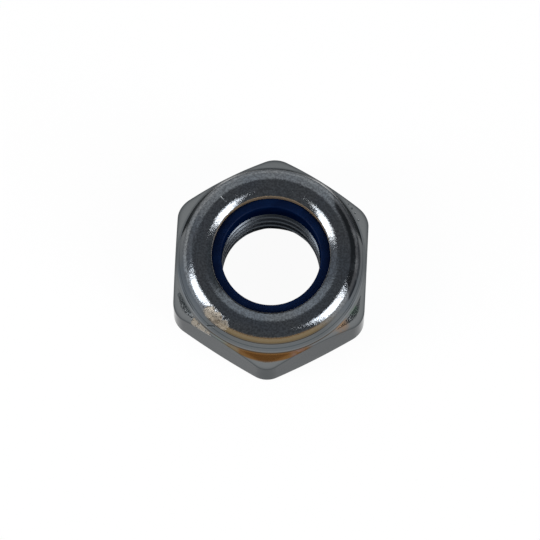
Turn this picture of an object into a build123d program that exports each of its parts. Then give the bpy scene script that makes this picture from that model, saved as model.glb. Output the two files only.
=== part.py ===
# Nylon insert lock nut, M8. A cold formed steel nut carries a thin collar, and the collar
# is rolled over a nylon ring that grips the bolt. Millimetres, +Z along the thread towards
# the nylon ring. The origin is the centre of the bearing face, and two flats face +X and -X.

import os
from math import cos, radians, tan

from build123d import *

os.makedirs("parts", exist_ok=True)

# Thread: coarse metric, left as a plain bore at its minor diameter
thread_diameter = 8.0
thread_pitch = 1.25
entry_margin = 0.3  # mouth of the countersink, outside the thread's major radius
entry_slope = 30.0  # degrees, countersink's wall from the bearing face

# Hexagon
across_flats = 13.0
hex_height = 5.3  # bearing face to the top of the flats, at their middle
corner_radius = 1.45  # rounding of the six upright corners
bearing_inset = 0.35  # rim of the flat bearing face, inside the flats
bearing_chamfer_slope = 30.0  # degrees from the bearing face
collar_chamfer_slope = 48.0  # degrees from the bearing face
rim_radius = 0.3  # rounding where the chamfers run out into the flats and corners

# Nylon ring
ring_bite = 0.64  # ring's bore, inside the thread's major radius
ring_width = 1.62  # bore to rim
ring_height = 1.6
ring_edge = 0.15  # chamfers at both ends of the ring's bore

# Rolled collar: the groove in it takes the ring, and the rest is its wall
collar_step = 0.6  # collar's wall, inside the flats
collar_height = 2.7  # top of the flats to the crest of the roll
roll_rise = 0.4  # crest of the roll, above both ends of its curve
roll_edge = 0.2  # rounding where that curve meets the wall
foot_radius = 0.4  # hollow between the collar's wall and the hexagon's chamfer
lip_clearance = 0.02  # rolled lip, outside the thread's major radius
lip_depth = 1.41  # crest to the underside of the lip
lip_edge = 0.12  # rounding above the lip's end, and chamfer under it
ring_clearance = 0.02  # ring's rim to the wall of the groove
groove_corner = 0.25  # chamfers in the groove's corners and round the ring's rim

# Thread and bore: the crests stand 5/8 of the sharp thread's height in from the roots
major_radius = thread_diameter / 2
minor_radius = major_radius - 5 / 8 * thread_pitch * cos(radians(30))
entry_radius = major_radius + entry_margin
entry_depth = (entry_radius - minor_radius) * tan(radians(entry_slope))

# Hexagon: the turned outline reaches out to its sharp corners
flat_radius = across_flats / 2
turned_radius = flat_radius / cos(radians(30))
bearing_radius = flat_radius - bearing_inset
bearing_chamfer_height = (turned_radius - bearing_radius) * tan(radians(bearing_chamfer_slope))

# Collar: one arc runs over its crest, from the outer wall to the lip
collar_radius = flat_radius - collar_step
collar_chamfer_rise = collar_step * tan(radians(collar_chamfer_slope))
collar_chamfer_drop = (turned_radius - flat_radius) * tan(radians(collar_chamfer_slope))
foot_height = hex_height + collar_chamfer_rise
lip_radius = major_radius + lip_clearance
crest_radius = (collar_radius + lip_radius) / 2
nut_height = hex_height + collar_height
roll_foot = nut_height - roll_rise

# Ring and groove: the ring stands on the groove's floor, and the lip presses on its top
ring_bore_radius = major_radius - ring_bite
ring_rim_radius = ring_bore_radius + ring_width
groove_radius = ring_rim_radius + ring_clearance
lip_underside = nut_height - lip_depth
groove_floor = lip_underside - ring_height

with BuildPart() as nut_body:
    with BuildSketch(Plane.XY):
        hexagon = RegularPolygon(flat_radius, 6, major_radius=False, rotation=30)
        fillet(hexagon.vertices(), corner_radius)
    extrude(amount=nut_height)

    # The turned outline cuts the chamfers, the collar, the groove and the bore at once
    with BuildSketch(Plane.XZ):
        with BuildLine():
            Polyline(
                (entry_radius, 0),
                (bearing_radius, 0),
                (turned_radius, bearing_chamfer_height),
                (turned_radius, hex_height - collar_chamfer_drop),
                (collar_radius, foot_height),
                (collar_radius, roll_foot),
            )
            ThreePointArc(
                (collar_radius, roll_foot),
                (crest_radius, nut_height),
                (lip_radius, roll_foot),
            )
            Polyline(
                (lip_radius, roll_foot),
                (lip_radius, lip_underside + lip_edge),
                (lip_radius + lip_edge, lip_underside),
                (groove_radius - groove_corner, lip_underside),
                (groove_radius, lip_underside - groove_corner),
                (groove_radius, groove_floor + groove_corner),
                (groove_radius - groove_corner, groove_floor),
                (minor_radius, groove_floor),
                (minor_radius, entry_depth),
                (entry_radius, 0),
            )
        outline = make_face()
        tops = outline.vertices().sort_by(Axis.Z)[-2:].sort_by(Axis.X)
        fillet(tops[0], lip_edge)
        fillet(tops[1], roll_edge)
        foot = outline.vertices().sort_by_distance((collar_radius, 0, foot_height))[0]
        fillet(foot, foot_radius)
    revolve(axis=Axis.Z, mode=Mode.INTERSECT)

    # Forging leaves soft rims where the chamfers run out: hyperbolas on the flats, and free
    # curves round the corners
    flat_rims = nut_body.edges().filter_by(GeomType.HYPERBOLA)
    corner_rims = nut_body.edges().filter_by(GeomType.BSPLINE)
    fillet(flat_rims + corner_rims, rim_radius)
nut_body.part.label = "nut_body"
export_step(nut_body.part, "parts/nut_body.step")

with BuildPart() as nylon_insert:
    with BuildSketch(Plane.XZ):
        with Locations((ring_bore_radius, groove_floor)):
            section = Rectangle(ring_width, ring_height, align=(Align.MIN, Align.MIN))
        corners = section.vertices().group_by(Axis.X)
        chamfer(corners[0], ring_edge)
        chamfer(corners[-1], groove_corner)
    revolve(axis=Axis.Z)
nylon_insert.part.label = "nylon_insert"
export_step(nylon_insert.part, "parts/nylon_insert.step")
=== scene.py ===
from math import asin, atan2, cos, degrees, pi, radians, sin, sqrt, tan

import bmesh
import bpy
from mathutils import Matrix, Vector


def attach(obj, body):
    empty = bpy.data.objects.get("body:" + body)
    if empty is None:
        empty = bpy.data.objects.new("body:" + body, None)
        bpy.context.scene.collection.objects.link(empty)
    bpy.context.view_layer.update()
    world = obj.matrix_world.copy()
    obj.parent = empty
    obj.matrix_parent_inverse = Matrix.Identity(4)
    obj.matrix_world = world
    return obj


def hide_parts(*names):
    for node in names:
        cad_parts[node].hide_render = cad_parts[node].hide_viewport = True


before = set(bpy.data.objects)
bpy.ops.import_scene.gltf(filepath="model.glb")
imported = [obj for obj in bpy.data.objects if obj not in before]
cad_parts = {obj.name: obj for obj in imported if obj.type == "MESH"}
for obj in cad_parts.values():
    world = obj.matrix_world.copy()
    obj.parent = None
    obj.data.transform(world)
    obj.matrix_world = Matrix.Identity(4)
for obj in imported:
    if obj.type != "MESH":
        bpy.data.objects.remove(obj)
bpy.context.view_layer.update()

mm = 0.001
weld = 0.0005 * mm               # points closer than this are one
centre = Vector((0.0, 0.0, 0.0))
upAxis = Vector((0.0, 0.0, 1.0))


camera = dict(
    azimuth=2.8,        # degrees, how far the camera stands round the nut from -Y
    elevation=78.0,
    distance=520.0,     # mm, far away so the nut hardly tapers
    lens=510.0,
    target=(0.0, 0.0, 3.9),
    aside=-0.068,       # mm, how far right of the target it looks
    above=-0.258,       # and how far above
    sensor=36.0,
    clip=(0.01, 20.0),  # m
)


def makeCamera(c):
    a, e = radians(c["azimuth"]), radians(c["elevation"])
    back = Vector((sin(a) * cos(e), -cos(a) * cos(e), sin(e)))
    right = Vector((cos(a), sin(a), 0.0))
    up = back.cross(right)
    aim = Vector(c["target"]) + right * c["aside"] + up * c["above"]
    data = bpy.data.cameras.new("camera")
    data.lens = c["lens"]
    data.sensor_width = c["sensor"]
    data.clip_start, data.clip_end = c["clip"]
    obj = bpy.data.objects.new("camera", data)
    obj.location = (aim + back * c["distance"]) * mm
    obj.rotation_mode = "QUATERNION"
    obj.rotation_quaternion = (-back).to_track_quat("-Z", "Y")
    bpy.context.scene.collection.objects.link(obj)
    bpy.context.scene.camera = obj


makeCamera(camera)
print("camera is up")


# small helpers for pen lines in the XZ plane
def penStart(bm, x, z):
    return bm.verts.new((x * mm, 0.0, z * mm))


def penLine(bm, last, x, z, steps=1):
    x0, z0 = last.co.x / mm, last.co.z / mm
    for i in range(1, steps + 1):
        new = bm.verts.new(((x0 + (x - x0) * i / steps) * mm, 0.0, (z0 + (z - z0) * i / steps) * mm))
        bm.edges.new((last, new))
        last = new
    return last


def penArc(bm, last, x, z, turn, steps):
    # swings on round (x, z) by turn degrees, clockwise when seen along +Y
    spun = bmesh.ops.spin(bm, geom=[last], cent=(x * mm, 0.0, z * mm), axis=(0.0, 1.0, 0.0),
                          angle=radians(turn), steps=steps)
    return [v for v in spun["geom_last"] if isinstance(v, bmesh.types.BMVert)][0]


nutBody = dict(
    acrossFlats=13.0,
    cornerRadius=1.45,      # rounding of the six upright corners
    flatSoftness=0.2,       # how softly the chamfers run out into the flats
    cornerSoftness=0.45,    # and into the corners
    columns=480,
    mouth=4.3,              # countersink's rim on the bearing face
    faceStart=4.36,         # the turned outline starts just outside it
    mouthSlope=30.0,        # degrees from the bearing face
    faceEdge=6.15,          # where the lower chamfer starts
    edgeBreak=(0.05, 0.04, 0.02),   # its sharp edge is broken: in, out and up
    lowSlope=30.0,
    hexHeight=5.6,          # top of the flats, at their middle
    highSlope=47.0,
    footRadius=6.37,        # the collar stands on the upper chamfer here
    footRound=0.15,         # how much of the fold there is cut off on each side
    creaseRadius=6.2,       # mark left by the rolling tool round the collar
    creaseHeight=6.4,
    rollRadius=5.0,         # the outer curve of the crest: its centre and its own radius
    roll=1.03,
    lipRollRadius=4.884,    # the same for the inner curve
    lipRoll=1.243,
    crestHeight=7.995,
    lipRadius=4.02,
    lipLean=42.0,           # degrees, slant of the lip's end
    lipEdge=0.05,
    lipUnderside=6.59,
    lipCorner=0.12,
    grooveRadius=5.0,
    grooveCorner=0.25,
    grooveFloor=4.99,
    floorStart=4.2,         # the groove's floor runs in to here, clear of the thread
    roundInside=5.95,       # within this radius the hexagon doesn't touch the outline
    sharpAngle=32.0,
)

thread = dict(
    pitch=1.25,
    minorRadius=3.3234,
    majorRadius=4.0,
    startHeight=-1.3,
    turns=6,
    stepsPerTurn=240,
    landSteps=5,
    flankSteps=6,
    rootSteps=3,
    crestSoftness=0.05,
    smoothing=0.4,
    seam=0.002,             # mm, turns are joined where their points are this close
    cut=1e-9,               # m, how exactly the ends are trimmed
)


def hexReach(angle, n):
    # how far a hexagon with rounded corners reaches at this angle, flats facing +X and -X
    flat = n["acrossFlats"] / 2
    off = (angle + pi / 6) % (pi / 3) - pi / 6        # from the middle of the nearest flat
    toCorner = pi / 6 - abs(off)
    hub = (flat - n["cornerRadius"]) / cos(pi / 6)
    side = hub * sin(toCorner)
    onFlat = flat / cos(off)
    if onFlat * sin(abs(off)) <= (flat - n["cornerRadius"]) * tan(pi / 6):
        return onFlat
    return hub * cos(toCorner) + sqrt(n["cornerRadius"] ** 2 - side ** 2)


def softMin(a, b, blend):
    h = max(blend - abs(a - b), 0.0) / blend
    return min(a, b) - h * h * blend / 4


def setRadius(v, r):
    scale = r * mm / sqrt(v.co.x ** 2 + v.co.y ** 2)
    v.co.x *= scale
    v.co.y *= scale


def drawOutline(bm, n):
    # the nut's turned section, from the bearing face round the outside to the groove's floor
    flat = n["acrossFlats"] / 2
    outside = flat / cos(pi / 6) + n["cornerSoftness"]      # clear of the hexagon's corners
    lowHeight = (outside - n["faceEdge"]) * tan(radians(n["lowSlope"]))
    slope = tan(radians(n["highSlope"]))
    highHeight = n["hexHeight"] - (outside - flat) * slope
    first = penStart(bm, n["faceStart"], 0.0)
    inwards, outwards, upwards = n["edgeBreak"]
    last = penLine(bm, first, n["faceEdge"] - inwards, 0.0, 4)
    last = penLine(bm, last, n["faceEdge"] + outwards, upwards, 2)
    last = penLine(bm, last, outside, lowHeight, 20)
    last = penLine(bm, last, outside, highHeight, 12)
    # the fold at the collar's foot is cut off on both sides, so it shades as a small hollow
    foot = Vector((n["footRadius"], n["hexHeight"] + (flat - n["footRadius"]) * slope))
    crease = Vector((n["creaseRadius"], n["creaseHeight"]))
    below = foot + Vector((1.0, -slope)).normalized() * n["footRound"]
    above = foot + (crease - foot).normalized() * n["footRound"]
    last = penLine(bm, last, below.x, below.y, 30)
    last = penLine(bm, last, above.x, above.y)
    last = penLine(bm, last, crease.x, crease.y, 5)
    # from the crease the wall leans in until it touches the roll
    rollHeight = n["crestHeight"] - n["roll"]
    out, down = n["creaseRadius"] - n["rollRadius"], rollHeight - n["creaseHeight"]
    lean = atan2(down, out) + asin(n["roll"] / sqrt(out ** 2 + down ** 2))
    last = penLine(bm, last, n["rollRadius"] + n["roll"] * sin(lean), rollHeight + n["roll"] * cos(lean), 5)
    last = penArc(bm, last, n["rollRadius"], rollHeight, -degrees(lean), 26)
    last = penLine(bm, last, n["lipRollRadius"], n["crestHeight"])
    last = penArc(bm, last, n["lipRollRadius"], n["crestHeight"] - n["lipRoll"], -n["lipLean"], 18)
    # the end of the lip slants down to its edge, which is a small round
    slant = radians(n["lipLean"])
    startX = n["lipRadius"] + n["lipEdge"] * (1 - sin(slant))
    startZ = last.co.z / mm - (last.co.x / mm - startX) * tan(slant)
    last = penLine(bm, last, startX, startZ, 2)
    last = penArc(bm, last, n["lipRadius"] + n["lipEdge"], startZ - n["lipEdge"] * cos(slant),
                  n["lipLean"] - 90.0, 4)
    last = penLine(bm, last, n["lipRadius"], n["lipUnderside"] + n["lipCorner"], 6)
    last = penLine(bm, last, n["lipRadius"] + n["lipCorner"], n["lipUnderside"])
    last = penLine(bm, last, n["grooveRadius"] - n["grooveCorner"], n["lipUnderside"], 2)
    last = penLine(bm, last, n["grooveRadius"], n["lipUnderside"] - n["grooveCorner"])
    last = penLine(bm, last, n["grooveRadius"], n["grooveFloor"] + n["grooveCorner"], 2)
    last = penLine(bm, last, n["grooveRadius"] - n["grooveCorner"], n["grooveFloor"])
    penLine(bm, last, n["floorStart"], n["grooveFloor"], 2)


def cutThread(n, t):
    # one pitch of the thread's form, wound up the bore, then trimmed at both ends
    bm = bmesh.new()
    flank = t["pitch"] * 5 / 16
    z = t["startHeight"]
    last = penStart(bm, t["minorRadius"], z)
    z += t["pitch"] / 4
    last = penLine(bm, last, t["minorRadius"], z, t["landSteps"])
    z += flank
    last = penLine(bm, last, t["majorRadius"], z, t["flankSteps"])
    z += t["pitch"] / 8
    last = penLine(bm, last, t["majorRadius"], z, t["rootSteps"])
    z += flank
    penLine(bm, last, t["minorRadius"], z, t["flankSteps"])
    bmesh.ops.smooth_vert(bm, verts=[v for v in bm.verts if len(v.link_edges) == 2],
                          factor=t["smoothing"], use_axis_x=True, use_axis_z=True)
    bmesh.ops.spin(bm, geom=bm.verts[:] + bm.edges[:], cent=centre, axis=upAxis,
                   dvec=(0.0, 0.0, t["pitch"] / t["stepsPerTurn"] * mm),
                   angle=2 * pi, steps=t["stepsPerTurn"])
    turn = bm.verts[:] + bm.edges[:] + bm.faces[:]
    for i in range(1, t["turns"]):
        copied = bmesh.ops.duplicate(bm, geom=turn)["geom"]
        bmesh.ops.translate(bm, vec=(0.0, 0.0, t["pitch"] * i * mm),
                            verts=[v for v in copied if isinstance(v, bmesh.types.BMVert)])
    bmesh.ops.remove_doubles(bm, verts=bm.verts[:], dist=t["seam"] * mm)
    slope = 1 / tan(radians(n["mouthSlope"]))
    for v in bm.verts:      # the countersink opens the bore towards the bearing face
        r, cone = v.co.xy.length / mm, n["mouth"] - v.co.z / mm * slope
        setRadius(v, -softMin(-r, -cone, t["crestSoftness"]))
    for height, way in ((0.0, -1.0), (n["grooveFloor"], 1.0)):
        bmesh.ops.bisect_plane(bm, geom=bm.verts[:] + bm.edges[:] + bm.faces[:], dist=t["cut"],
                               plane_co=(0.0, 0.0, height * mm), plane_no=(0.0, 0.0, way),
                               clear_outer=True)
    return bm


def turnRound(bm, columns):
    # one sixth is spun, and its copies complete the turn
    bmesh.ops.spin(bm, geom=bm.verts[:] + bm.edges[:], cent=centre, axis=upAxis,
                   angle=pi / 3, steps=columns // 6)
    bmesh.ops.spin(bm, geom=bm.verts[:] + bm.edges[:] + bm.faces[:], cent=centre, axis=upAxis,
                   angle=pi * 5 / 3, steps=5, use_duplicate=True)
    bmesh.ops.remove_doubles(bm, verts=bm.verts[:], dist=weld)


def makeNutBody(n, t):
    bm = bmesh.new()
    drawOutline(bm, n)
    turnRound(bm, n["columns"])
    flat = n["acrossFlats"] / 2
    corner = hexReach(pi / 6, n)
    for v in bm.verts:      # the hexagon holds in whatever the turned outline has outside it
        r = v.co.xy.length / mm
        if r > n["roundInside"]:
            reach = hexReach(atan2(v.co.y, v.co.x), n)
            cornered = (reach - flat) / (corner - flat)
            softness = n["flatSoftness"] + (n["cornerSoftness"] - n["flatSoftness"]) * cornered
            setRadius(v, softMin(r, reach, softness))
    bore = cutThread(n, t)
    boreMesh = bpy.data.meshes.new("bore")
    bore.to_mesh(boreMesh)
    bore.free()
    bm.from_mesh(boreMesh)
    bpy.data.meshes.remove(boreMesh)
    for height in (0.0, n["grooveFloor"]):
        rims = [e for e in bm.edges if e.is_boundary
                and all(abs(v.co.z - height * mm) < 2 * weld for v in e.verts)]
        bmesh.ops.triangle_fill(bm, edges=rims, use_beauty=True, normal=upAxis)
    bmesh.ops.remove_doubles(bm, verts=bm.verts[:], dist=weld)
    bmesh.ops.recalc_face_normals(bm, faces=bm.faces[:])
    return finishPiece(bm, "nutBody", n["sharpAngle"])


def finishPiece(bm, name, sharpAngle):
    mesh = bpy.data.meshes.new(name)
    openEdges = sum(1 for e in bm.edges if len(e.link_faces) != 2)
    bm.to_mesh(mesh)
    bm.free()
    mesh.shade_smooth()
    mesh.set_sharp_from_angle(angle=radians(sharpAngle))
    obj = bpy.data.objects.new(name, mesh)
    bpy.context.scene.collection.objects.link(obj)
    print(name, "has", len(mesh.polygons), "faces and", openEdges, "open edges")
    return obj


nut = makeNutBody(nutBody, thread)
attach(nut, "root")
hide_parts("nut_body")


ringClearance = 0.02        # between the ring and the groove's wall
mouthClearance = 0.025      # between the squeezed ring and the lip

nylonRing = dict(
    boreRadius=3.36,
    rimRadius=nutBody["grooveRadius"] - ringClearance,
    bottom=nutBody["grooveFloor"],
    top=nutBody["lipUnderside"],
    crown=0.6,          # the lip squeezes the ring up inside its mouth
    crownDip=0.1,       # the crown is lower beside the lip
    crownRadius=nutBody["lipRadius"] - mouthClearance,
    crownEdge=0.1,
    neckCorner=0.04,    # under the lip, where the crown starts
    boreEdge=0.1,
    rimCorner=0.25,
    columns=360,
    sharpAngle=40.0,
)


def makeNylonRing(n):
    bm = bmesh.new()
    e, c = n["boreEdge"], n["rimCorner"]
    crest = n["top"] + n["crown"]
    first = penStart(bm, n["boreRadius"], n["bottom"] + e)
    last = penLine(bm, first, n["boreRadius"], crest - e, 8)
    last = penArc(bm, last, n["boreRadius"] + e, crest - e, 90.0, 6)
    last = penLine(bm, last, n["crownRadius"] - n["crownEdge"], crest - n["crownDip"] / 2, 5)
    last = penLine(bm, last, n["crownRadius"], crest - n["crownDip"], 2)
    last = penLine(bm, last, n["crownRadius"], n["top"] + n["neckCorner"], 2)
    last = penLine(bm, last, n["crownRadius"] + n["neckCorner"], n["top"])
    last = penLine(bm, last, n["rimRadius"] - c, n["top"], 3)
    last = penLine(bm, last, n["rimRadius"], n["top"] - c)
    last = penLine(bm, last, n["rimRadius"], n["bottom"] + c, 3)
    last = penLine(bm, last, n["rimRadius"] - c, n["bottom"])
    last = penLine(bm, last, n["boreRadius"] + e, n["bottom"], 4)
    bm.edges.new((last, first))
    turnRound(bm, n["columns"])
    bmesh.ops.recalc_face_normals(bm, faces=bm.faces[:])
    return finishPiece(bm, "nylonRing", n["sharpAngle"])


ring = makeNylonRing(nylonRing)
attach(ring, "root")
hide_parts("nylon_insert")


class Patterns:
    # builds one node tree; each step gives back the output that it makes
    def __init__(self, tree):
        self.nodes, self.links = tree.nodes, tree.links

    def put(self, value, socket):
        if isinstance(value, bpy.types.NodeSocket):
            self.links.new(value, socket)
        else:
            socket.default_value = value

    def math(self, kind, a, b):
        step = self.nodes.new("ShaderNodeMath")
        step.operation = kind
        self.put(a, step.inputs[0])
        self.put(b, step.inputs[1])
        return step.outputs["Value"]

    def plus(self, a, b):
        return self.math("ADD", a, b)

    def times(self, a, b):
        return self.math("MULTIPLY", a, b)

    def most(self, a, b):
        return self.math("MAXIMUM", a, b)

    def vector(self, kind, a, b=None):
        step = self.nodes.new("ShaderNodeVectorMath")
        step.operation = kind
        self.put(a, step.inputs[0])
        if b is not None:
            self.put(b, step.inputs[1])
        isNumber = kind in ("LENGTH", "DISTANCE", "DOT_PRODUCT")
        return step.outputs["Value" if isNumber else "Vector"]

    def apart(self, at):
        split = self.nodes.new("ShaderNodeSeparateXYZ")
        self.put(at, split.inputs["Vector"])
        return split.outputs["X"], split.outputs["Y"], split.outputs["Z"]

    def ramp(self, value, low, high, toLow=0.0, toHigh=1.0):
        # runs softly from one number to the other while the value goes from low to high
        step = self.nodes.new("ShaderNodeMapRange")
        step.interpolation_type = "SMOOTHSTEP"
        for name, number in (("From Min", low), ("From Max", high), ("To Min", toLow), ("To Max", toHigh)):
            step.inputs[name].default_value = number
        self.put(value, step.inputs["Value"])
        return step.outputs["Result"]

    def band(self, value, low, high, soft):
        # 1 between low and high
        rising = self.ramp(value, low - soft, low + soft)
        return self.times(rising, self.ramp(value, high + soft, high - soft))

    def noise(self, at, size, detail, roughness, distortion=0.0):
        # size is the width of one blotch in mm
        step = self.nodes.new("ShaderNodeTexNoise")
        step.inputs["Scale"].default_value = 1.0 / size
        step.inputs["Detail"].default_value = detail
        step.inputs["Roughness"].default_value = roughness
        step.inputs["Distortion"].default_value = distortion
        self.put(at, step.inputs["Vector"])
        return step.outputs["Fac"]

    def blend(self, amount, a, b):
        # colour a turning into colour b
        step = self.nodes.new("ShaderNodeMix")
        step.data_type = "RGBA"
        self.put(amount, step.inputs["Factor"])
        for slot, colour in (("A", a), ("B", b)):
            socket = [s for s in step.inputs if s.name == slot and s.type == "RGBA"][0]
            self.put((*colour, 1.0) if isinstance(colour, tuple) else colour, socket)
        return [s for s in step.outputs if s.type == "RGBA"][0]

    def bumps(self, height, distance, strength, under=None):
        # distance in mm
        step = self.nodes.new("ShaderNodeBump")
        step.inputs["Distance"].default_value = distance * mm
        step.inputs["Strength"].default_value = strength
        self.put(height, step.inputs["Height"])
        if under:
            self.put(under, step.inputs["Normal"])
        return step.outputs["Normal"]

    def spot(self, at, where, inner, outer):
        # 1 within inner mm of a place, fading to 0 at outer mm
        return self.ramp(self.vector("DISTANCE", at, where), inner, outer, 1.0, 0.0)

    def stroke(self, at, start, end, width):
        # 1 on the line between two places, fading to 0 over its width in mm
        run = Vector(end) - Vector(start)
        fromStart = self.vector("SUBTRACT", at, start)
        share = self.nodes.new("ShaderNodeClamp")
        self.put(self.vector("DOT_PRODUCT", fromStart, run / run.length_squared), share.inputs["Value"])
        nearest = self.vector("MULTIPLY", run, share.outputs["Result"])
        return self.ramp(self.vector("DISTANCE", fromStart, nearest), 0.0, width, 1.0, 0.0)


def newMaterial(name):
    mat = bpy.data.materials.new(name)
    mat.use_nodes = True
    g = Patterns(mat.node_tree)
    place = g.nodes.new("ShaderNodeTexCoord")
    scale = g.nodes.new("ShaderNodeMapping")      # patterns are sized in millimetres
    scale.inputs["Scale"].default_value = (1 / mm, 1 / mm, 1 / mm)
    g.put(place.outputs["Object"], scale.inputs["Vector"])
    return mat, g, g.nodes["Principled BSDF"].inputs, scale.outputs["Vector"]


# height at which the collar stands on the upper chamfer
footHeight = nutBody["hexHeight"] + (nutBody["acrossFlats"] / 2 - nutBody["footRadius"]) * tan(
    radians(nutBody["highSlope"]))

zinc = dict(
    plain=(0.245, 0.257, 0.266),
    cool=(0.215, 0.240, 0.268),
    paintedShade=(0.168, 0.178, 0.183),         # painted shade: the hexagon, and the collar's wall on the near side, are darker than the collar
    darkReflection=(0.06, 0.062, 0.067),       # painted dark reflection on the collar's right side
    warmReflection=(0.20, 0.147, 0.078),          # painted warm reflection under the crest on the near side
    orangeReflection=(0.18, 0.09, 0.026),           # painted orange reflection on the near corner's chamfer
    dirtAndFoldShade=(0.075, 0.055, 0.037),        # painted shade in the fold and at the collar's foot on the near side, and dirt in the scuffs' pits
    # painted shade along the crease round the collar
    fold=(0.08, 0.098, 0.106),
    shorn=(0.26, 0.195, 0.13),          # bare end of the lip
    scuffed=(0.29, 0.25, 0.195),
    dirt=(0.035, 0.045, 0.05),
    # painted shade inside the bore: the thread is darker
    bore=(0.06, 0.07, 0.085),
    speck=(0.085, 0.087, 0.094),
    edgeTint=(0.33, 0.335, 0.34, 1.0),
    # how much of the colour shows
    amounts=dict(wall=0.75, speck=0.65, warmReflection=0.9, fold=0.9, crease=0.8, orangeReflection=0.95, foot=0.95, scuff=0.75,
                 hole=0.75, dirt=0.55, bore=0.85),
    # blotch in mm, detail, roughness and, where it has some, distortion
    noises=dict(
        grain=(0.2, 4.0, 0.7),
        patches=(1.1, 4.0, 0.65),
        clouds=(3.5, 2.0, 0.5, 0.6),
        grit=(0.14, 3.0, 0.7),
        torn=(0.3, 4.0, 0.65, 0.8),
        fine=(0.07, 2.0, 0.5),
    ),
    # noise values between which a pattern turns from one finish to the other
    cloudLevel=(0.35, 0.65),
    gritLevel=(0.38, 0.62),
    grainLevel=(0.3, 0.7),
    gritElsewhere=0.15,                 # share of the crest's specks that the rest has
    # where each place fades in, by height and by radius
    places=dict(
        crest=((7.0, 7.4), (4.02, 4.08)),
        bore=((6.4, 6.0), (4.35, 4.1)),
        lipEnd=((6.6, 6.8), (4.05, 4.03)),
    ),
    # stretches of height: from, to, softness of both edges
    bands=dict(
        wall=(footHeight, 6.98, 0.03),
        fold=(6.98, 7.1, 0.03),
        warmReflection=(7.12, 7.66, 0.04),
        crease=(6.33, 6.43, 0.04),
        darkReflection=(7.0, 8.1, 0.05),
        orangeReflection=(5.2, footHeight + 0.03, 0.08),
        foot=(footHeight - 0.04, footHeight + 0.05, 0.03),
        scuffOnRoll=(7.05, 8.2, 0.06),
        scuffOnChamfer=(5.0, footHeight - 0.08, 0.06),
        stain=(5.0, 5.7, 0.05),
    ),
    hexagon=(5.85, 5.75),               # heights where the hexagon's painted shade fades in
    top=(4.6, 4.9),                     # and where the scratched part does
    chamfer=((4.7, 5.1), (footHeight + 0.02, footHeight - 0.05)),
    outside=(5.5, 5.7),                 # radii where the outer side fades in
    nearSide=(-3.6, -5.2),              # y where the near side fades in
    orangeReflectionNear=(-5.6, -6.0),
    orangeReflectionRadius=(6.3, 6.4),
    lipBack=(0.5, 3.0, 0.3, 1.0),       # y, and how bare the lip is there
    darkReflectionAzimuth=radians(11.0),
    darkReflectionReach=(4.65, 4.85),          # mm along that azimuth
    darkReflectionRadius=(5.3, 5.45),
    darkReflectionPatches=(0.3, 0.5, 0.5, 0.95),
    scuffBare=0.6,                      # how much less metallic these two are
    lipBare=0.75,
    smooth=0.04,
    rough=0.10,
    dulling=0.22,                       # added to the roughness of what is dull
    crestGrain=0.35,
    # marks, by their place in plan in mm
    scuffs=(
        ((-3.95, -4.15, 0.0), 0.2, 0.65),
        ((-3.45, -4.6, 0.0), 0.25, 0.7),
        ((-2.95, -5.0, 0.0), 0.15, 0.6),
        ((-4.9, -4.45, 0.0), 0.15, 0.55),
        ((-4.5, -4.85, 0.0), 0.15, 0.6),
        ((-4.1, -5.25, 0.0), 0.1, 0.5),
    ),
    scuffRadius=(5.15, 5.35),
    scuffShare=0.6,                     # how much of a scuff is the place, the rest is torn edges
    scuffLevel=(0.84, 1.0),
    holeLevel=(1.02, 0.9),
    stains=(
        ((-6.1, -2.6, 0.0), (-5.3, -3.85, 0.0), 0.22),
        ((-5.15, -3.55, 0.0), (-4.9, -3.95, 0.0), 0.12),
    ),
    stainFloor=0.25,
    stainLevel=(0.3, 0.42),
    stainPlace=((-5.3, -3.85, 0.0), 1.6, 2.0),
    scratches=(
        ((-3.57, 3.76, 0.0), (-3.22, 3.46, 0.0), 0.04),
        ((-2.6, 3.95, 0.0), (-2.2, 3.8, 0.0), 0.03),
        ((-4.1, -4.8, 0.0), (-3.6, -4.95, 0.0), 0.05),
    ),
    pits=(
        ((5.79, 3.13, 0.0), 0.08),
        ((5.53, 3.61, 0.0), 0.07),
        ((5.30, 3.93, 0.0), 0.09),
        ((5.06, 4.22, 0.0), 0.06),
    ),
    pitCore=0.4,                        # share of a pit's radius that is full depth
    tints=(
        # colour, place, inner and outer reach, amount
        ((0.10, 0.19, 0.12), (5.6, -3.0, 0.0), 0.25, 0.6, 0.8),
        ((0.30, 0.17, 0.08), (4.85, -4.2, 0.0), 0.3, 0.8, 0.7),
        ((0.27, 0.22, 0.31), (2.6, -6.3, 0.0), 0.4, 1.2, 0.35),
        ((0.21, 0.26, 0.23), (-3.0, -6.2, 0.0), 0.6, 1.8, 0.4),
    ),
    tintPatches=(0.35, 0.6),
    # depth in mm and strength
    finePits=(0.004, 0.5),
    grainDepth=0.04,
    waves=(0.05, 0.2),
    cutDepth=(0.05, 0.8),
    scuffCut=0.6,                       # how deep a scuff is beside a scratch
)


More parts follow.
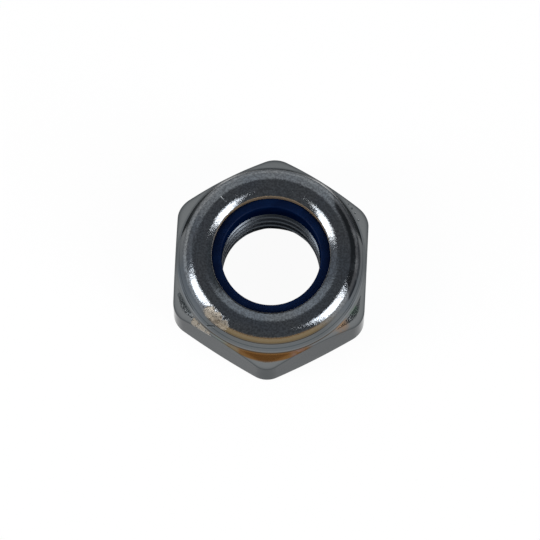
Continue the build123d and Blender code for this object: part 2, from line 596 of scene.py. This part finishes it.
def zincPlaces(g, at, z):
    # where on the nut each finish and each mark sits, as numbers from 0 to 1
    x, y, height = g.apart(at)
    plan = g.vector("MULTIPLY", at, (1.0, 1.0, 0.0))
    radius = g.vector("LENGTH", plan)
    noises = {name: g.noise(at, *values) for name, values in z["noises"].items()}
    bands = {name: g.band(height, *values) for name, values in z["bands"].items()}
    p = {name: g.times(g.ramp(height, *heights), g.ramp(radius, *radii))
         for name, (heights, radii) in z["places"].items()}
    p["near"] = g.ramp(y, *z["nearSide"])
    outside = g.ramp(radius, *z["outside"])
    nearOutside = g.times(p["near"], outside)
    # near side only: painted shade on the collar's wall and in the fold under the roll, painted warm
    # reflection under the crest
    for name in ("wall", "fold", "warmReflection"):
        p[name] = g.times(bands[name], nearOutside)
    # painted shade at the collar's foot on the near side and along the crease all round
    p["foot"] = g.times(bands["foot"], p["near"])
    p["crease"] = g.times(bands["crease"], outside)
    # painted orange reflection on the near corner's chamfer
    p["orangeReflection"] = g.times(g.times(bands["orangeReflection"], g.ramp(y, *z["orangeReflectionNear"])), g.ramp(radius, *z["orangeReflectionRadius"]))
    # painted shade: the hexagon is darker all round below the collar
    p["hexagon"] = g.ramp(height, *z["hexagon"])
    # painted dark reflection on the collar's right side
    along = g.plus(g.times(x, cos(z["darkReflectionAzimuth"])), g.times(y, sin(z["darkReflectionAzimuth"])))
    p["darkReflection"] = g.times(g.ramp(along, *z["darkReflectionReach"]), g.ramp(radius, *z["darkReflectionRadius"]))
    p["darkReflection"] = g.times(p["darkReflection"], bands["darkReflection"])
    p["darkReflection"] = g.times(p["darkReflection"], g.ramp(noises["patches"], *z["darkReflectionPatches"]))

    # knocks and scuffs
    scuff = 0.0
    for where, inner, outer in z["scuffs"]:
        scuff = g.most(g.spot(plan, where, inner, outer), scuff)
    scuff = g.times(scuff, g.most(bands["scuffOnRoll"], bands["scuffOnChamfer"]))
    scuff = g.times(scuff, g.ramp(radius, *z["scuffRadius"]))
    scuff = g.ramp(g.plus(g.times(scuff, z["scuffShare"]), noises["torn"]), *z["scuffLevel"])
    p["scuff"] = scuff
    p["hole"] = g.times(scuff, g.ramp(g.plus(noises["grain"], noises["patches"]), *z["holeLevel"]))

    stain = 0.0
    for start, end, width in z["stains"]:
        stain = g.most(g.stroke(plan, start, end, width), stain)
    stain = g.ramp(g.times(g.plus(stain, z["stainFloor"]), noises["patches"]), *z["stainLevel"])
    p["stain"] = g.times(g.times(stain, bands["stain"]), g.spot(plan, *z["stainPlace"]))

    scratch = 0.0
    for start, end, width in z["scratches"]:
        scratch = g.most(g.stroke(plan, start, end, width), scratch)
    p["scratch"] = g.times(scratch, g.ramp(height, *z["top"]))

    pits = 0.0
    for where, size in z["pits"]:
        pits = g.most(g.spot(plan, where, size * z["pitCore"], size), pits)
    rising, falling = z["chamfer"]
    p["chamfer"] = g.times(g.ramp(height, *rising), g.ramp(height, *falling))
    p["pits"] = g.times(pits, p["chamfer"])
    return p, noises, plan, y


def zincTone(g, z, p, noises, plan, y):
    # from the plating up
    amounts = z["amounts"]
    grit = g.ramp(noises["grit"], *z["gritLevel"])
    tone = g.blend(g.ramp(noises["clouds"], *z["cloudLevel"]), z["plain"], z["cool"])
    # painted shade on the hexagon, and on the collar's wall on the near side
    tone = g.blend(p["hexagon"], tone, z["paintedShade"])
    tone = g.blend(g.times(p["wall"], amounts["wall"]), tone, z["paintedShade"])
    specks = g.times(grit, g.most(p["crest"], z["gritElsewhere"]))
    tone = g.blend(g.times(specks, amounts["speck"]), tone, z["speck"])
    # painted dark reflection on the collar's right side
    tone = g.blend(p["darkReflection"], tone, z["darkReflection"])
    # painted warm and orange reflections, and painted shade in the fold, along the crease and at the
    # collar's foot
    for place, colour in (("warmReflection", "warmReflection"), ("fold", "dirtAndFoldShade"), ("crease", "fold"), ("orangeReflection", "orangeReflection"),
                          ("foot", "dirtAndFoldShade")):
        tone = g.blend(g.times(p[place], amounts[place]), tone, z[colour])
    for colour, where, inner, outer, amount in z["tints"]:
        here = g.times(g.spot(plan, where, inner, outer), amount)
        here = g.times(g.times(here, g.ramp(noises["patches"], *z["tintPatches"])), p["chamfer"])
        tone = g.blend(here, tone, colour)
    tone = g.blend(g.times(p["scuff"], amounts["scuff"]), tone, z["scuffed"])
    tone = g.blend(g.times(p["hole"], amounts["hole"]), tone, z["dirtAndFoldShade"])
    tone = g.blend(g.times(g.most(p["stain"], p["pits"]), amounts["dirt"]), tone, z["dirt"])
    # painted shade inside the bore: the thread is darkened
    tone = g.blend(g.times(p["bore"], amounts["bore"]), tone, z["bore"])
    return g.blend(g.times(p["lipEnd"], g.ramp(y, *z["lipBack"])), tone, z["shorn"])


def makeZinc(z):
    mat, g, shader, at = newMaterial("zincPlatedSteel")
    p, noises, plan, y = zincPlaces(g, at, z)
    g.put(zincTone(g, z, p, noises, plan, y), shader["Base Color"])
    lessMetal = g.most(g.times(p["scuff"], z["scuffBare"]), g.times(p["lipEnd"], z["lipBare"]))
    g.put(g.math("SUBTRACT", 1.0, lessMetal), shader["Metallic"])
    g.put(z["edgeTint"], shader["Specular Tint"])

    roughness = g.ramp(noises["grain"], *z["grainLevel"], z["smooth"], z["rough"])
    rougher = g.most(g.most(p["scuff"], p["bore"]), g.most(g.most(p["orangeReflection"], p["foot"]), p["lipEnd"]))
    g.put(g.plus(roughness, g.times(rougher, z["dulling"])), shader["Roughness"])

    # the crest is grainy from being rolled, the rest is smoother
    normal = g.bumps(noises["fine"], *z["finePits"])
    normal = g.bumps(g.times(noises["grain"], p["crest"]), z["grainDepth"], z["crestGrain"], normal)
    normal = g.bumps(noises["clouds"], *z["waves"], normal)
    cuts = g.plus(g.times(p["scuff"], z["scuffCut"]), g.most(p["scratch"], p["pits"]))
    normal = g.bumps(g.times(cuts, -1.0), *z["cutDepth"], normal)
    g.put(normal, shader["Normal"])
    return mat


nylon = dict(
    navy=(0.0005, 0.0045, 0.023),
    worn=(0.001, 0.0072, 0.033),
    clouds=(1.2, 3.0, 0.6),         # blotch in mm, detail, roughness
    grain=(0.12, 3.0, 0.6),
    cloudLevel=(0.35, 0.7),
    grainLevel=(0.3, 0.7),
    grainDepth=(0.01, 0.4),         # mm and strength
    smooth=0.42,
    rough=0.57,
    topGloss=0.06,
    boreGloss=0.0,                  # the bore's wall is dull
    boreReach=0.02,                 # mm, faces this close to the bore's radius are its wall
)


def makeNylon(n, name, gloss):
    mat, g, shader, at = newMaterial(name)
    clouds = g.noise(at, *n["clouds"])
    g.put(g.blend(g.ramp(clouds, *n["cloudLevel"]), n["navy"], n["worn"]), shader["Base Color"])
    grain = g.noise(at, *n["grain"])
    g.put(g.ramp(grain, *n["grainLevel"], n["smooth"], n["rough"]), shader["Roughness"])
    g.put(g.bumps(grain, *n["grainDepth"]), shader["Normal"])
    g.put(gloss, shader["Specular IOR Level"])
    return mat


nut.data.materials.append(makeZinc(zinc))
ring.data.materials.append(makeNylon(nylon, "navyNylon", nylon["topGloss"]))
ring.data.materials.append(makeNylon(nylon, "dullNylon", nylon["boreGloss"]))
for face in ring.data.polygons:
    if face.center.xy.length < (nylonRing["boreRadius"] + nylon["boreReach"]) * mm:
        face.material_index = 1
print("finishes are on")


studio = dict(
    floorSize=1500.0,       # mm, radius
    floorColour=(0.88, 0.88, 0.88),
    floorWhite=0.95,        # how much of plain white the floor shows, the rest keeps the shadow
    overhead=(0.185, 0.195, 0.21),
    # the room's walls: colour, azimuth of the middle, then from the middle to where the wall
    # starts and ends to fade, and the heights where its top does, all in degrees
    walls=dict(
        rightCorner=((0.155, 0.17, 0.185), 27.0, (20.0, 25.0), (35.0, 50.0)),
        backPanel=((0.64, 0.67, 0.70), 98.0, (44.0, 48.0), (55.0, 58.0)),
        leftWall=((0.36, 0.38, 0.41), 160.0, (16.0, 22.0), (44.0, 52.0)),
    ),
    lampDistance=400.0,
    # azimuth, height of the middle in degrees, width and height in mm, brightness, colour
    lamps=dict(
        leftSoftbox=(198.5, 30.0, 160.0, 385.0, 7.5, (1.0, 1.0, 1.0)),
        rightSoftbox=(331.0, 31.0, 170.0, 375.0, 7.5, (1.0, 1.0, 1.0)),
        warmStrip=(273.0, 4.5, 560.0, 77.0, 0.50, (1.0, 0.62, 0.25)),
    ),
    topDistance=700.0,
    topSize=120.0,
    topPower=0.3,           # watts
)


def areaLamp(name, spotAt, width, depth, power, colour=(1.0, 1.0, 1.0)):
    data = bpy.data.lights.new(name, "AREA")
    data.shape = "RECTANGLE"
    data.size, data.size_y = width * mm, depth * mm
    data.energy = power
    data.color = colour
    lamp = bpy.data.objects.new(name, data)
    lamp.location = spotAt * mm
    lamp.rotation_mode = "QUATERNION"
    lamp.rotation_quaternion = (-spotAt).to_track_quat("-Z", "Y")
    bpy.context.scene.collection.objects.link(lamp)
    return lamp


def paleFloor(s):
    mat = bpy.data.materials.new("paleFloor")
    mat.use_nodes = True
    g = Patterns(mat.node_tree)
    g.nodes.remove(g.nodes["Principled BSDF"])
    matt = g.nodes.new("ShaderNodeBsdfDiffuse")
    g.put((*s["floorColour"], 1.0), matt.inputs["Color"])
    white = g.nodes.new("ShaderNodeEmission")
    rays = g.nodes.new("ShaderNodeLightPath").outputs
    seen = g.most(rays["Is Camera Ray"], rays["Is Glossy Ray"])
    seen = g.most(seen, rays["Is Transmission Ray"])
    mix = g.nodes.new("ShaderNodeMixShader")
    g.put(g.times(seen, s["floorWhite"]), mix.inputs["Fac"])
    g.put(matt.outputs["BSDF"], mix.inputs[1])
    g.put(white.outputs["Emission"], mix.inputs[2])
    g.put(mix.outputs["Shader"], g.nodes["Material Output"].inputs["Surface"])
    return mat


def makeFloor(s):
    bm = bmesh.new()
    bmesh.ops.create_circle(bm, cap_ends=True, segments=64, radius=s["floorSize"] * mm)
    mesh = bpy.data.meshes.new("floor")
    bm.to_mesh(mesh)
    bm.free()
    mesh.materials.append(paleFloor(s))
    floor = bpy.data.objects.new("floor", mesh)
    bpy.context.scene.collection.objects.link(floor)


def makeRoom(s):
    # what the metal reflects: a dim ceiling and three walls, by the direction seen
    world = bpy.data.worlds.new("studio")
    world.use_nodes = True
    g = Patterns(world.node_tree)
    where = g.nodes.new("ShaderNodeTexCoord").outputs["Generated"]
    bearing = g.vector("NORMALIZE", g.vector("MULTIPLY", where, (1.0, 1.0, 0.0)))
    height = g.apart(where)[2]
    colour = s["overhead"]
    for wall, azimuth, reach, top in s["walls"].values():
        facing = (cos(radians(azimuth)), sin(radians(azimuth)), 0.0)
        start, end = (cos(radians(d)) for d in reach)
        under, over = (sin(radians(d)) for d in top)
        within = g.times(g.ramp(g.vector("DOT_PRODUCT", bearing, facing), end, start),
                         g.ramp(height, over, under))
        colour = g.blend(within, colour, wall)
    g.put(colour, g.nodes["Background"].inputs["Color"])
    bpy.context.scene.world = world


def makeStudio(s):
    makeFloor(s)
    for name, (azimuth, high, width, depth, bright, colour) in s["lamps"].items():
        a, e = radians(azimuth), radians(high)
        at = Vector((cos(a) * cos(e), sin(a) * cos(e), sin(e))) * s["lampDistance"]
        areaLamp(name, at, width, depth, bright * pi * width * depth * mm * mm, colour)
    top = areaLamp("topLight", Vector((0.0, 0.0, s["topDistance"])), s["topSize"], s["topSize"],
                   s["topPower"])
    top.visible_glossy = False      # it lights the nylon and the floor, the metal doesn't mirror it
    makeRoom(s)
    bpy.context.scene.view_settings.view_transform = "Standard"


makeStudio(studio)
print("studio is lit")
